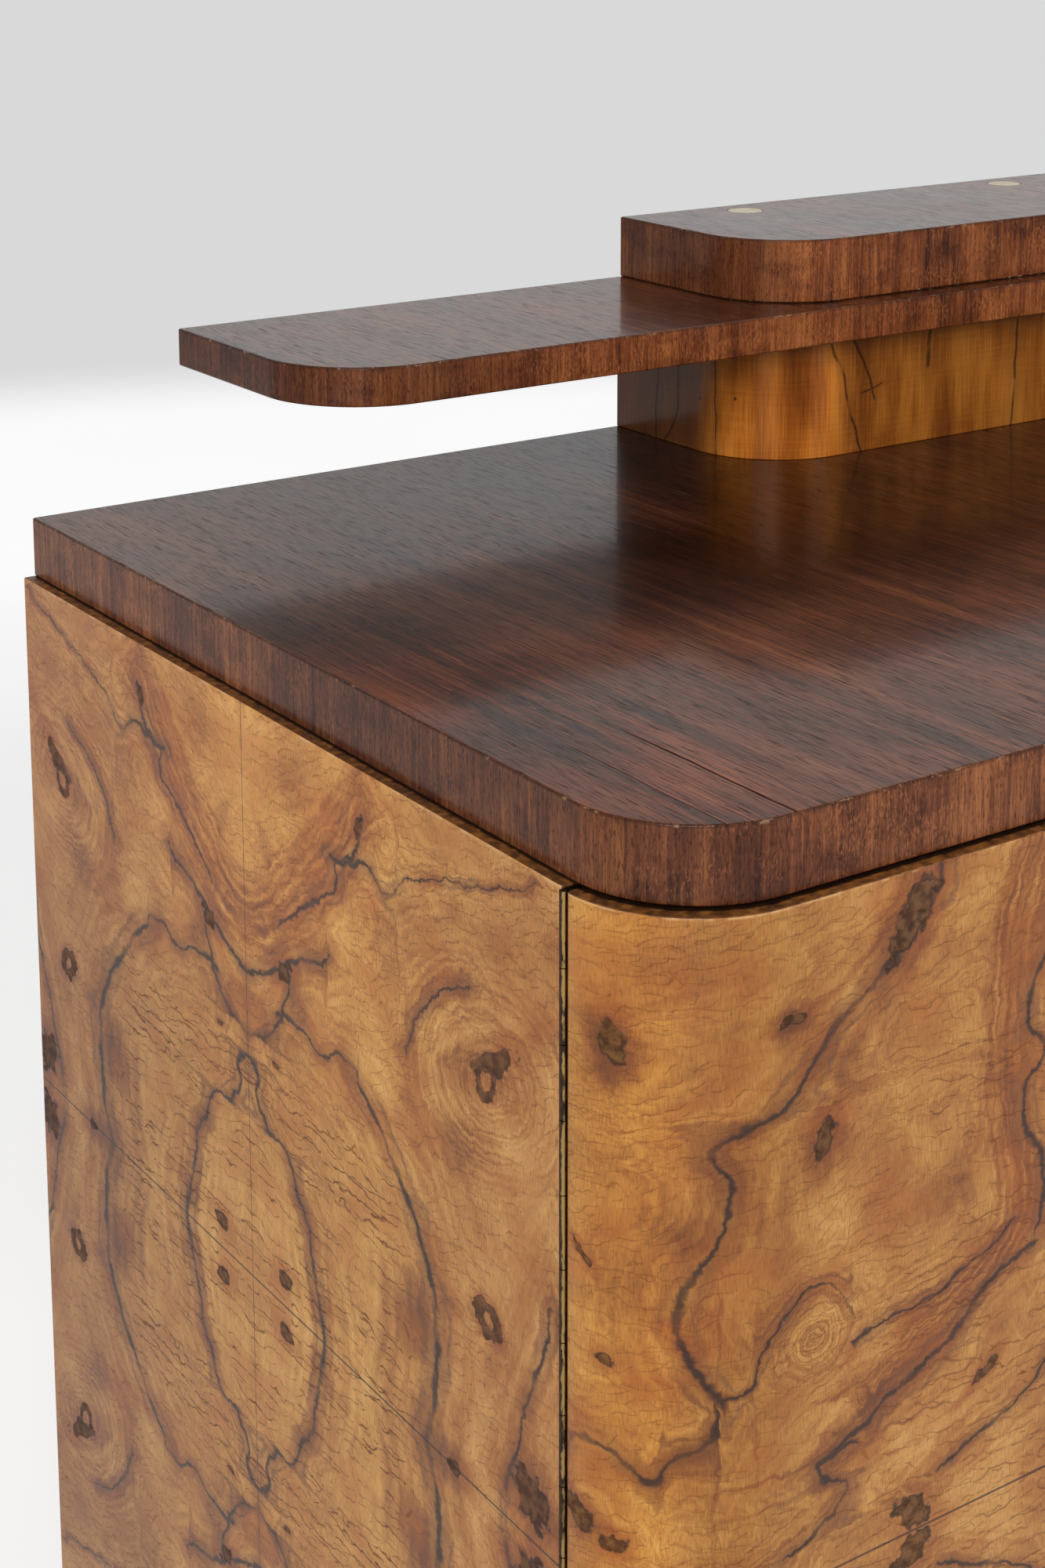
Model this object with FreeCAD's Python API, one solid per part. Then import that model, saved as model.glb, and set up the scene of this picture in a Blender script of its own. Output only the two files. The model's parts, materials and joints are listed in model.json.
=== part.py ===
import FreeCAD, Part
import math
import os

# A long sideboard with rounded front corners. The outer doors wrap round the corners and turn on
# piano hinges at the edge of the side panels. A stepped display shelf stands at the back of the top.
# Frame: +Z up, the front faces -Y, the origin is at the bottom centre of the whole piece.

# Driving dimensions of the carcass, in millimetres
width = 1980.0
side_depth = 486.0
corner_radius = 58.0
carcass_height = 579.0
side_thickness = 22.0
partition_thickness = 22.0
partition_spacing = 990.0
board_thickness = 20.0
back_thickness = 6.0
back_recess = 2.0
rebate_width = 10.0

# Doors and the gaps round them
door_thickness = 22.0
door_top_gap = 1.0
door_bottom_gap = 1.5
door_side_gap = 1.5
meeting_gap = 2.0
door_back_gap = 1.0
edge_ease = 1.8

# Plinth
plinth_height = 95.0
plinth_side_recess = 35.0
plinth_front_recess = 40.0
plinth_back_recess = 8.0
plinth_corner_radius = 45.0
plinth_rail_thickness = 22.0
glue_block_leg = 36.0
glue_block_height = 70.0

# Slab top and the stepped display shelf on it
slab_thickness = 31.0
slab_inset = 6.0
top_corner_radius = 55.0
riser_length = 1222.0
riser_depth = 132.0
riser_height = 70.0
display_length = 1796.0
display_depth = 152.0
display_thickness = 20.0
upper_length = 1218.0
upper_depth = 137.0
upper_height = 35.5
arris_ease = 0.8

# Cover discs and the long bolts under them
disc_count = 6
disc_spacing = 213.0
disc_from_back = 21.5
disc_diameter = 21.0
disc_thickness = 4.0
disc_sink = 0.4
bolt_diameter = 6.0
bolt_head_diameter = 12.0
bolt_head_height = 5.0
bolt_hold = 45.0
bolt_flat_count = 8
head_flat_count = 6
fit_clearance = 0.05

# Piano hinges
knuckle_length = 30.0
knuckle_gap = 0.4
barrel_diameter = 3.1
barrel_sink = 0.2
leaf_thickness = 0.7
leaf_width = 14.0
pin_clearance = 0.05
knuckle_relief = 0.3
barrel_flat_count = 12
bore_flat_count = 6

# Knobs
knob_projection = 26.0
knob_diameter = 28.0
knob_neck_diameter = 13.0
knob_base_diameter = 18.0
knob_base_height = 4.0
knob_neck_height = 8.0
knob_rim_height = 4.0
knob_crown_height = 4.0
knob_tip_diameter = 20.0
knob_spigot_diameter = 10.0
knob_spigot_length = 14.0
knob_from_edge = 45.0
knob_height = 300.0
knob_flat_count = 16

# Shelves inside and the battens that carry them
shelf_thickness = 18.0
shelf_height = 265.0
shelf_side_gap = 1.0
shelf_back_gap = 2.0
shelf_set_back = 8.0
batten_width = 18.0
batten_height = 20.0
batten_set_back = 12.0

# Roller catches
catch_width = 20.0
catch_depth = 20.0
catch_height = 14.0
catch_from_edge = 60.0
catch_door_gap = 2.5
catch_slot = 5.6
catch_slot_depth = 14.0
catch_roof = 2.0
roller_diameter = 4.0
roller_proud = 0.8
roller_flat_count = 10
tongue_thickness = 2.4
tongue_height = 8.0
tongue_reach = 12.0
tongue_plate_width = 12.0
tongue_plate_height = 24.0
tongue_plate_thickness = 1.5

# Places that follow from the driving dimensions
half_width = width / 2
carcass_depth = side_depth + corner_radius
back_y = (carcass_depth + knob_projection) / 2
front_y = back_y - carcass_depth
hinge_y = front_y + corner_radius
carcass_z = plinth_height
top_z = carcass_z + carcass_height
slab_z = top_z + slab_thickness
riser_z = slab_z + riser_height
display_z = riser_z + display_thickness
upper_z = display_z + upper_height
inner_x = half_width - side_thickness
door_back_y = front_y + door_thickness
board_front_y = door_back_y + door_back_gap
back_panel_y = back_y - back_recess - back_thickness
partition_x = partition_spacing / 2
floor_z = carcass_z + board_thickness
ceiling_z = top_z - board_thickness
door_z = carcass_z + door_bottom_gap
door_height = carcass_height - door_bottom_gap - door_top_gap
barrel_radius = barrel_diameter / 2
side_front_y = hinge_y + barrel_radius
bore_radius = barrel_radius - leaf_thickness
pin_radius = bore_radius - pin_clearance
knuckle_count = int(door_height // knuckle_length)
hinge_length = knuckle_count * knuckle_length
hinge_z = door_z + door_height - hinge_length

os.makedirs("parts", exist_ok=True)


def point(place, z=0.0):
    return FreeCAD.Vector(place[0], place[1], z)


def arc(centre, radius, start, end):
    # Middle and end point of an arc given in degrees, as a step of an outline
    places = []
    for degrees in ((start + end) / 2, end):
        angle = math.radians(degrees)
        places.append((centre[0] + radius * math.cos(angle), centre[1] + radius * math.sin(angle)))
    return tuple(places)


def outline(start, *steps):
    # A closed flat face: each step is a point for a line, or a middle and end point for an arc
    edges = []
    here = start
    for step in steps + (start,):
        if isinstance(step[0], tuple):
            middle, end = step
            edges.append(Part.Arc(point(here), point(middle), point(end)).toShape())
        else:
            end = step
            if math.dist(here, end) < 1e-6:
                continue
            edges.append(Part.LineSegment(point(here), point(end)).toShape())
        here = end
    return Part.Face(Part.Wire(edges))


def plate(face, z, height):
    solid = face.extrude(FreeCAD.Vector(0, 0, height))
    solid.translate(FreeCAD.Vector(0, 0, z))
    return solid


def block(low, high):
    size = [b - a for a, b in zip(low, high)]
    return Part.makeBox(size[0], size[1], size[2], FreeCAD.Vector(*low))


def rod(radius, start, axis, length):
    return Part.makeCylinder(radius, length, FreeCAD.Vector(*start), FreeCAD.Vector(*axis))


def polygon(radius, sides, z):
    # Corners of a regular polygon round the Z axis, its flats at the radius and one of them facing +Y
    reach = radius / math.cos(math.pi / sides)
    turns = [math.pi / 2 + math.pi * (2 * index + 1) / sides for index in range(sides)]
    return [FreeCAD.Vector(reach * math.cos(turn), reach * math.sin(turn), z) for turn in turns]


def flat(*corners):
    return Part.Face(Part.makePolygon([*corners, corners[0]]))


def faceted(profile, sides):
    # A piece worked to flats round the Z axis, through (radius, distance) rings
    rings = [polygon(radius, sides, z) for radius, z in profile]
    faces = [flat(*rings[0]), flat(*rings[-1])]
    for low, high in zip(rings, rings[1:]):
        for index in range(sides):
            faces.append(flat(low[index - 1], low[index], high[index], high[index - 1]))
    return Part.Solid(Part.Shell(faces))


def prism(radius, sides, low, high):
    return faceted([(radius, low), (radius, high)], sides)


def cut_all(solid, tools):
    for tool in tools:
        solid = solid.cut(tool)
    return solid


def mirrored(shape):
    return shape.mirror(FreeCAD.Vector(), FreeCAD.Vector(1, 0, 0))


def save(name, *solids):
    shape = solids[0] if len(solids) == 1 else Part.makeCompound(list(solids))
    shape.exportStep(f"parts/{name}.step")


def save_pair(name, shape):
    # The left piece as drawn and its mirror image on the right
    save(f"left_{name}", shape)
    save(f"right_{name}", mirrored(shape))


def rounded_board(length, depth, radius, z, thickness):
    # A board flush with the back, its two front corners rounded and its top arris worn soft
    half = length / 2
    front = back_y - depth
    face = outline(
        (-half, back_y),
        (-half, front + radius),
        arc((-half + radius, front + radius), radius, 180, 270),
        (half - radius, front),
        arc((half - radius, front + radius), radius, 270, 360),
        (half, back_y),
    )
    board = plate(face, z, thickness)
    arrises = []
    for edge in board.Edges:
        on_top = edge.BoundBox.ZMin > z + thickness - 1e-6
        on_back = edge.BoundBox.YMin > back_y - 1e-6
        if on_top and not on_back:
            arrises.append(edge)
    return board.makeChamfer(arris_ease, arrises)


# Piano hinge leaf in its own frame: the pin runs up Z through the origin, the leaf lies along +X
# and its outer face touches the wood at +Y. Knuckles of one leaf sit between those of the other.
def hinge_leaf(first):
    inner = barrel_radius - leaf_thickness
    start = barrel_radius + knuckle_relief
    leaf = block((start, inner, 0), (leaf_width, barrel_radius, hinge_length))
    for index in range(first, knuckle_count, 2):
        low = index * knuckle_length + knuckle_gap / 2
        high = low + knuckle_length - knuckle_gap
        tab = block((0, inner, low), (start, barrel_radius, high))
        knuckle = prism(barrel_radius, barrel_flat_count, low, high).fuse(tab)
        leaf = leaf.fuse(knuckle.cut(prism(bore_radius, bore_flat_count, low, high)))
    return leaf.removeSplitter()


def hinge_pin():
    return rod(pin_radius, (0, 0, 0), (0, 0, 1), hinge_length)


def placed(shape, place, degrees, flipped=False):
    # Sets a hinge piece at its axis. Flipped leaves lie on the door's edge instead of the carcass.
    if flipped:
        shape = shape.mirror(FreeCAD.Vector(), FreeCAD.Vector(0, 1, 0))
    turn = FreeCAD.Rotation(FreeCAD.Vector(0, 0, 1), degrees)
    move = FreeCAD.Placement(FreeCAD.Vector(place[0], place[1], hinge_z), turn)
    return shape.transformed(move.toMatrix())


# The corner hinge lies along the side panel's front edge, the middle hinge along the stile's inner face
stile_inner_x = -partition_x + partition_thickness / 2
stile_outer_x = -partition_x - partition_thickness / 2
corner_axis = (-half_width + barrel_sink, hinge_y)
middle_axis = (stile_inner_x + barrel_radius, front_y + barrel_sink)
hinges = {"outer": (corner_axis, 0), "inner": (middle_axis, 90)}
for name, (axis_place, degrees) in hinges.items():
    save_pair(f"{name}_hinge_fixed_leaf", placed(hinge_leaf(0), axis_place, degrees))
    save_pair(f"{name}_hinge_door_leaf", placed(hinge_leaf(1), axis_place, degrees, True))
left_pins = [placed(hinge_pin(), axis_place, degrees) for axis_place, degrees in hinges.values()]
save("hinge_pins", *left_pins, *[mirrored(pin) for pin in left_pins])

# Side panels: veneered board, rebated at the back, with an eased arris beside the hinge barrel
side = block((-half_width, side_front_y, carcass_z), (-inner_x, back_y, top_z))
rebate = block((-inner_x - rebate_width, back_panel_y, carcass_z), (-inner_x, back_y, top_z))
ease = outline(
    (-half_width, side_front_y),
    (-half_width + edge_ease, side_front_y),
    (-half_width, side_front_y + edge_ease),
)
side = side.cut(rebate).cut(plate(ease, carcass_z, carcass_height))
save_pair("side_panel", side)

# Partitions stand between the boards, and each carries a stile that shows between the doors
partition = block(
    (stile_outer_x, board_front_y, floor_z),
    (stile_inner_x, back_panel_y, ceiling_z),
)
save_pair("partition", partition)
stile = block((stile_outer_x, front_y, carcass_z), (stile_inner_x, board_front_y, top_z))
ease = outline(
    (stile_inner_x, front_y),
    (stile_inner_x, front_y + edge_ease),
    (stile_inner_x - edge_ease, front_y),
)
save_pair("stile", stile.cut(plate(ease, carcass_z, carcass_height)))

# Bottom and top boards follow the inside of the curved doors at the front corners
board_radius = corner_radius - door_thickness - door_back_gap
corner_x = half_width - corner_radius
board_x = corner_x + board_radius
board_face = outline(
    (-inner_x, back_panel_y),
    (-inner_x, side_front_y),
    (-board_x, side_front_y),
    (-board_x, hinge_y),
    arc((-corner_x, hinge_y), board_radius, 180, 270),
    (corner_x, board_front_y),
    arc((corner_x, hinge_y), board_radius, 270, 360),
    (board_x, side_front_y),
    (inner_x, side_front_y),
    (inner_x, back_panel_y),
)
save("bottom_board", plate(board_face, carcass_z, board_thickness))
save("top_board", plate(board_face, ceiling_z, board_thickness))

# Back panels of plywood, in the side rebates and meeting behind the partitions
back_edges = (-inner_x - rebate_width, -partition_x, partition_x, inner_x + rebate_width)
for index, name in enumerate(("left", "middle", "right")):
    low = (back_edges[index], back_panel_y, carcass_z)
    high = (back_edges[index + 1], back_panel_y + back_thickness, top_z)
    save(f"{name}_back_panel", block(low, high))

# Plinth: rails between quarter-round corner blocks, set back under the carcass
plinth_x = half_width - plinth_side_recess
plinth_front_y = front_y + plinth_front_recess
plinth_back_y = back_y - plinth_back_recess
block_x = plinth_x - plinth_corner_radius
block_y = plinth_front_y + plinth_corner_radius
rail_back_y = plinth_back_y - plinth_rail_thickness
save(
    "plinth_front_rail",
    block(
        (-block_x, plinth_front_y, 0),
        (block_x, plinth_front_y + plinth_rail_thickness, plinth_height),
    ),
)
save("plinth_back_rail", block((-plinth_x, rail_back_y, 0), (plinth_x, plinth_back_y, plinth_height)))
save_pair(
    "plinth_side_rail",
    block((-plinth_x, block_y, 0), (-plinth_x + plinth_rail_thickness, rail_back_y, plinth_height)),
)
quarter = outline(
    (-block_x, block_y),
    (-plinth_x, block_y),
    arc((-block_x, block_y), plinth_corner_radius, 180, 270),
)
save_pair("plinth_corner_block", plate(quarter, 0, plinth_height))
cross_rail = block(
    (stile_outer_x, plinth_front_y + plinth_rail_thickness, 0),
    (stile_inner_x, rail_back_y, plinth_height),
)
save("plinth_cross_rails", cross_rail, mirrored(cross_rail))
glue_x = -plinth_x + plinth_rail_thickness
glue_face = outline(
    (glue_x, rail_back_y),
    (glue_x, rail_back_y - glue_block_leg),
    (glue_x + glue_block_leg, rail_back_y),
)
glue_block = plate(glue_face, plinth_height - glue_block_height, glue_block_height)
save("plinth_glue_blocks", glue_block, mirrored(glue_block))

# Cover discs and the long bolts that pull the upper block and the display shelf onto the riser
first_disc_x = -(disc_count - 1) * disc_spacing / 2
disc_y = back_y - disc_from_back
disc_places = [(first_disc_x + index * disc_spacing, disc_y) for index in range(disc_count)]
disc_top_z = upper_z - disc_sink
disc_z = disc_top_z - disc_thickness
bolt_seat_z = disc_z - bolt_head_height
bolt_tip_z = riser_z - bolt_hold


def upright(solid, place):
    solid.translate(point(place))
    return solid


def bolt(place, grow=0.0):
    shank = prism(bolt_diameter / 2 + grow, bolt_flat_count, bolt_tip_z - grow, disc_z)
    head = prism(bolt_head_diameter / 2 + grow, head_flat_count, bolt_seat_z, disc_z)
    return upright(shank.fuse(head).removeSplitter(), place)


discs = []
disc_wells = []
for place in disc_places:
    start = (place[0], place[1], disc_z)
    discs.append(rod(disc_diameter / 2, start, (0, 0, 1), disc_thickness))
    disc_wells.append(rod(disc_diameter / 2 + fit_clearance, start, (0, 0, 1), disc_thickness + disc_sink))
bolt_holes = [bolt(place, fit_clearance) for place in disc_places]
save("cover_discs", *discs)
save("shelf_bolts", *[bolt(place) for place in disc_places])

# Slab top, riser block, display shelf and upper block, all flush at the back
slab_depth = carcass_depth - slab_inset
slab = rounded_board(width - 2 * slab_inset, slab_depth, top_corner_radius, top_z, slab_thickness)
riser = rounded_board(riser_length, riser_depth, top_corner_radius, slab_z, riser_height)
display = rounded_board(display_length, display_depth, top_corner_radius, riser_z, display_thickness)
upper = rounded_board(upper_length, upper_depth, top_corner_radius, display_z, upper_height)
save("slab_top", slab)
save("riser_block", cut_all(riser, bolt_holes))
save("display_shelf", cut_all(display, bolt_holes))
save("upper_block", cut_all(upper, bolt_holes + disc_wells))

# Shelves inside, each on a batten at either end
shelf_z = floor_z + shelf_height
shelf_front_y = side_front_y + shelf_set_back
shelf_back_y = back_panel_y - shelf_back_gap
middle_shelf_x = -stile_inner_x - shelf_side_gap


def shelf(left, right):
    high = (right, shelf_back_y, shelf_z + shelf_thickness)
    return block((left, shelf_front_y, shelf_z), high)


def batten(wall_x, side):
    edges = sorted((wall_x, wall_x + side * batten_width))
    low = (edges[0], shelf_front_y + batten_set_back, shelf_z - batten_height)
    return block(low, (edges[1], shelf_back_y, shelf_z))


save_pair("shelf", shelf(-inner_x + shelf_side_gap, stile_outer_x - shelf_side_gap))
save("middle_shelf", shelf(-middle_shelf_x, middle_shelf_x))
left_battens = [batten(-inner_x, 1), batten(stile_outer_x, -1), batten(stile_inner_x, 1)]
save("shelf_battens", *left_battens, *[mirrored(piece) for piece in left_battens])

# Doors: the outer one is bent round the corner, the inner one is flat. Each is bored for its knob.
outer_edge_x = stile_outer_x - door_side_gap
inner_edge_x = -meeting_gap / 2
door_hinge_y = hinge_y - barrel_radius
inner_hinge_x = stile_inner_x + barrel_diameter
knob_z = door_z + knob_height


def arc_start(radius):
    # Where an arc of the corner meets the plane of the door's hinge edge, in degrees
    return 180 + math.degrees(math.asin(barrel_radius / radius))


def on_corner(radius):
    angle = math.radians(arc_start(radius))
    return (-corner_x + radius * math.cos(angle), hinge_y + radius * math.sin(angle))


door_inner_radius = corner_radius - door_thickness
outer_face = outline(
    on_corner(corner_radius),
    arc((-corner_x, hinge_y), corner_radius, arc_start(corner_radius), 270),
    (outer_edge_x, front_y),
    (outer_edge_x, door_back_y),
    (-corner_x, door_back_y),
    arc((-corner_x, hinge_y), door_inner_radius, 270, arc_start(door_inner_radius)),
)
outer_ease = outline(
    (-half_width - edge_ease, door_hinge_y),
    (-half_width + edge_ease, door_hinge_y),
    (-half_width - edge_ease, door_hinge_y - 2 * edge_ease),
)
inner_face = outline(
    (inner_hinge_x + edge_ease, front_y),
    (inner_edge_x, front_y),
    (inner_edge_x, door_back_y),
    (inner_hinge_x, door_back_y),
    (inner_hinge_x, front_y + edge_ease),
)
outer_door = plate(outer_face, door_z, door_height).cut(plate(outer_ease, door_z, door_height))
doors = {
    "outer": (outer_door, outer_edge_x),
    "inner": (plate(inner_face, door_z, door_height), inner_edge_x),
}
knob_rim = knob_projection - knob_crown_height
knob_profile = [
    (knob_base_diameter / 2, 0),
    (knob_base_diameter / 2, knob_base_height),
    (knob_neck_diameter / 2, knob_neck_height),
    (knob_diameter / 2, knob_rim - knob_rim_height),
    (knob_diameter / 2, knob_rim),
    (knob_tip_diameter / 2, knob_projection),
]
knob = faceted(knob_profile, knob_flat_count)
knob = knob.fuse(prism(knob_spigot_diameter / 2, knob_flat_count, -knob_spigot_length, 0)).removeSplitter()
knob_turn = FreeCAD.Rotation(FreeCAD.Vector(1, 0, 0), 90)
for name, (door, edge_x) in doors.items():
    place = (edge_x - knob_from_edge, front_y, knob_z)
    hole = prism(knob_spigot_diameter / 2 + fit_clearance, knob_flat_count, -knob_spigot_length, 0)
    move = FreeCAD.Placement(FreeCAD.Vector(*place), knob_turn).toMatrix()
    save_pair(f"{name}_door", door.cut(hole.transformed(move)))
    save_pair(f"{name}_knob", knob.transformed(move))

# Roller catches under the top board, and the tongues on the doors that enter them
catch_front_y = door_back_y + catch_door_gap
catch_z = ceiling_z - catch_height
roller_offset = catch_slot / 2 + roller_diameter / 2 - roller_proud
roller_y = catch_front_y + catch_slot_depth / 2
roller_length = catch_height - catch_roof
catches = []
rollers = []
for name, (door, edge_x) in doors.items():
    x = edge_x - catch_from_edge
    body = block(
        (x - catch_width / 2, catch_front_y, catch_z),
        (x + catch_width / 2, catch_front_y + catch_depth, ceiling_z),
    )
    slot = block(
        (x - catch_slot / 2, catch_front_y, catch_z),
        (x + catch_slot / 2, catch_front_y + catch_slot_depth, catch_z + roller_length),
    )
    roller_place = (x - roller_offset, roller_y)
    roller_top_z = catch_z + roller_length
    roller = prism(roller_diameter / 2, roller_flat_count, catch_z, roller_top_z)
    rollers.append(upright(roller, roller_place))
    well_radius = roller_diameter / 2 + fit_clearance
    well = upright(prism(well_radius, roller_flat_count, catch_z, roller_top_z), roller_place)
    catches.append(body.cut(slot).cut(well))
    tongue_z = catch_z + (roller_length - tongue_height) / 2
    base = block(
        (x - tongue_plate_width / 2, door_back_y, tongue_z + tongue_height - tongue_plate_height),
        (x + tongue_plate_width / 2, door_back_y + tongue_plate_thickness, tongue_z + tongue_height),
    )
    blade = block(
        (x - tongue_thickness / 2, door_back_y, tongue_z),
        (x + tongue_thickness / 2, door_back_y + tongue_reach, tongue_z + tongue_height),
    )
    save_pair(f"{name}_catch_tongue", base.fuse(blade).removeSplitter())
save("catch_bodies", *catches, *[mirrored(body) for body in catches])
save("catch_rollers", *rollers, *[mirrored(roller) for roller in rollers])
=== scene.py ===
import json
import math

import bpy
from mathutils import Matrix, Quaternion, Vector


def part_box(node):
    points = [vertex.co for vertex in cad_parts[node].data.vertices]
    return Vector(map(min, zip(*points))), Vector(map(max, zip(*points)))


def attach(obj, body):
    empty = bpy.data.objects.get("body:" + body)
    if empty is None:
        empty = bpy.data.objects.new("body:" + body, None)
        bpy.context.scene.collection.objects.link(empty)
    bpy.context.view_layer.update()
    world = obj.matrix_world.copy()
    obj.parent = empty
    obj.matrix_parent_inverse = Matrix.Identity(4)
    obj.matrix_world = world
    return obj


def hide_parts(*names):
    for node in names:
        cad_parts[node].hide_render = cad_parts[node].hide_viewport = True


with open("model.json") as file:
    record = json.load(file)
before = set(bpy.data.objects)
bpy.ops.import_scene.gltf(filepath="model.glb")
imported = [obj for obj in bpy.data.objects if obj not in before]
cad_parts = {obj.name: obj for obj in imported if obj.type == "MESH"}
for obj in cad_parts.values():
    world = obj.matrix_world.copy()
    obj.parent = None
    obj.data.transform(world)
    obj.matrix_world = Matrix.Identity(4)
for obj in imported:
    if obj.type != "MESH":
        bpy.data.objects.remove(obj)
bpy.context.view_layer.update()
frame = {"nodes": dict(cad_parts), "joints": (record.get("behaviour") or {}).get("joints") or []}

nodes = frame["nodes"]


# Plinth: rails on edge between two quarter-round blocks at the front corners, glued and blocked,
# set back under the carcass. The rails that show are veneered in the dark wood, grain upright.
def operator(operation):
    """A method that adds a Math node of that operation to a wire and another value."""
    return lambda self, other: self.math(operation, self, other)


def coordinate(index):
    """A property that splits one coordinate off a wire that carries a place."""
    return property(lambda self: self.node("SeparateXYZ", None, {0: self}, index))


class Wire:
    """One output in a finish's node tree. Python's operators on wires add Math nodes."""

    def __init__(self, tree, socket):
        self.tree = tree
        self.socket = socket

    def node(self, kind, settings=None, inputs=None, output=0):
        """Adds a node of that kind: its settings first, then the values or links of its sockets."""
        made = self.tree.nodes.new("ShaderNode" + kind)
        for name, value in (settings or {}).items():
            if name == "stops":
                stops = made.color_ramp.elements
                while len(stops) < len(value):
                    stops.new(1.0)
                for stop, (position, colour) in zip(stops, value):
                    stop.position = position
                    stop.color = colour
            elif name == "points":
                points = made.mapping.curves[0].points
                while len(points) < len(value):
                    points.new(1.0, 1.0)
                for point, place in zip(points, value):
                    point.location = place
                made.mapping.update()
            else:
                setattr(made, name, value)
        for name, value in (inputs or {}).items():
            if isinstance(value, Wire):
                self.tree.links.new(value.socket, made.inputs[name])
            else:
                made.inputs[name].default_value = value
        return Wire(self.tree, made.outputs[output])

    def math(self, operation, *values):
        return self.node("Math", {"operation": operation}, dict(enumerate(values)))

    def __rsub__(self, other):
        return self.math("SUBTRACT", other, self)

    def __abs__(self):
        return self.math("ABSOLUTE", self)

    __add__ = __radd__ = operator("ADD")
    __sub__ = operator("SUBTRACT")
    __mul__ = __rmul__ = operator("MULTIPLY")
    __truediv__ = operator("DIVIDE")
    __pow__ = operator("POWER")
    x, y, z = coordinate(0), coordinate(1), coordinate(2)


def lesser(first, second):
    return first.math("MINIMUM", first, second)


def greater(first, second):
    return first.math("MAXIMUM", first, second)


def screen(red, green, blue):
    """A colour as a screen shows it, 0 to 255, as the linear one that a shader takes."""
    shares = [value / 255 for value in (red, green, blue)]
    return (*[v / 12.92 if v <= 0.04045 else ((v + 0.055) / 1.055) ** 2.4 for v in shares], 1.0)


def soft_step(value, low, high, start=0.0, end=1.0):
    """Goes smoothly from start to end while the value goes from low to high."""
    settings = {"interpolation_type": "SMOOTHSTEP"}
    return value.node("MapRange", settings, {0: value, 1: low, 2: high, 3: start, 4: end})


def soft_fall(value, low, high):
    return soft_step(value, low, high, 1.0, 0.0)


def tint(share, first, second):
    """The first colour where the share is 0, the second where it is 1. Three numbers are a shade."""
    pair = [colour if isinstance(colour, Wire) else screen(*colour) for colour in (first, second)]
    return share.node("Mix", {"data_type": "RGBA"}, {0: share, 6: pair[0], 7: pair[1]}, 2)


def deepened(share, colour, *factors):
    """The colour, multiplied by the factors where the share is 1."""
    settings = {"data_type": "RGBA", "blend_type": "MULTIPLY"}
    return share.node("Mix", settings, {0: share, 6: colour, 7: (*factors, 1.0)}, 2)


def ramp(value, places, shades):
    """A colour that goes through the shades as the value goes through the places."""
    stops = list(zip(places, [screen(*shade) for shade in shades]))
    return value.node("ValToRGB", {"stops": stops}, {0: value})


def mottle(place, sizes, detail=2.0, seed=0.0, output=0):
    """Cloudy noise about 0.5, its patches of one size in metres, or of three along X, Y and Z."""
    if isinstance(sizes, float):
        sizes = (sizes, sizes, sizes)
    counts = tuple(1 / size for size in sizes)
    cells = place.node("VectorMath", {"operation": "MULTIPLY"}, {0: place, 1: counts})
    moved = cells.node("VectorMath", {"operation": "ADD"}, {0: cells, 1: (seed, seed, seed)})
    return moved.node("TexNoise", None, {"Vector": moved, "Scale": 1.0, "Detail": detail}, output)


def new_finish(name):
    """A material, and the wire of a piece's own coordinates, which are the frame's at rest."""
    made = bpy.data.materials.new(name)
    made.use_nodes = True
    coordinates = made.node_tree.nodes.new("ShaderNodeTexCoord")
    return made, Wire(made.node_tree, coordinates.outputs["Object"])


def lay_finish(
    made, colour, roughness, height=None, depth=0.0002, polish=None, shine=0.5, metallic=0.0,
    polish_roughness=0.17,
):
    """Links a finish's colour, roughness, relief and clear polish to its shader."""
    tree = made.node_tree
    shader = tree.nodes["Principled BSDF"]
    tree.links.new(colour.socket, shader.inputs["Base Color"])
    tree.links.new(roughness.socket, shader.inputs["Roughness"])
    shader.inputs["Specular IOR Level"].default_value = shine
    shader.inputs["Metallic"].default_value = metallic
    if polish is not None:
        tree.links.new(polish.socket, shader.inputs["Coat Weight"])
        shader.inputs["Coat Roughness"].default_value = polish_roughness
    if height is not None:
        relief = height.node("Bump", None, {"Strength": 1.0, "Distance": depth, "Height": height})
        tree.links.new(relief.socket, shader.inputs["Normal"])
    return made


def straight_veneer(name, fibre, shades, streaks, scuffs, pored, seed=0.0):
    """Polished straight-grained veneer: fine, middling and broad streaks, drawn out as the fibre is."""
    made, place = new_finish(name)
    fine = mottle(place, fibre, 3.0, seed)
    streak = mottle(place, [size * 2.6 for size in fibre], 3.0, seed + 4)
    band = mottle(place, [min(size * 17, 0.35) for size in fibre], 2.0, seed + 9)
    cloud = mottle(place, 0.09, 2.0, seed + 2)
    tone = 0.5 + (fine - 0.5) * streaks[0] + (streak - 0.5) * streaks[1] + (band - 0.5) * streaks[2]
    tone = tone + (cloud - 0.5) * 0.6
    colour = ramp(tone, (0.22, 0.42, 0.58, 0.82), shades)
    short = [size * 0.8 if size < 0.005 else size * 0.16 for size in fibre]
    fleck = mottle(place, short, 2.0, seed + 6)
    pores = soft_step(fleck, 0.36, 0.44, pored, 0.0)
    colour = tint(pores, colour, (30, 16, 9))
    bare = soft_step(mottle(place, 0.012, 2.0, seed + 3), 0.42, 0.62)
    colour = tint(soft_step(fleck, 0.58, 0.72) * bare * pored, colour, shades[3])
    rubbed = soft_step(mottle(place, 0.03, 3.0, seed + 7), 0.58, 0.70)
    worn = soft_step(mottle(place, 0.0016, 3.0, seed + 1), 0.64, 0.70) * rubbed * scuffs
    colour = tint(worn, colour, (180, 130, 88))
    roughness = 0.30 + (cloud - 0.5) * 0.16 + pores * 0.1 + worn * 0.5
    return made, place, colour, roughness, fine * 0.5 - pores, 1.0 - pores * 0.75 - worn * 0.6


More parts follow.
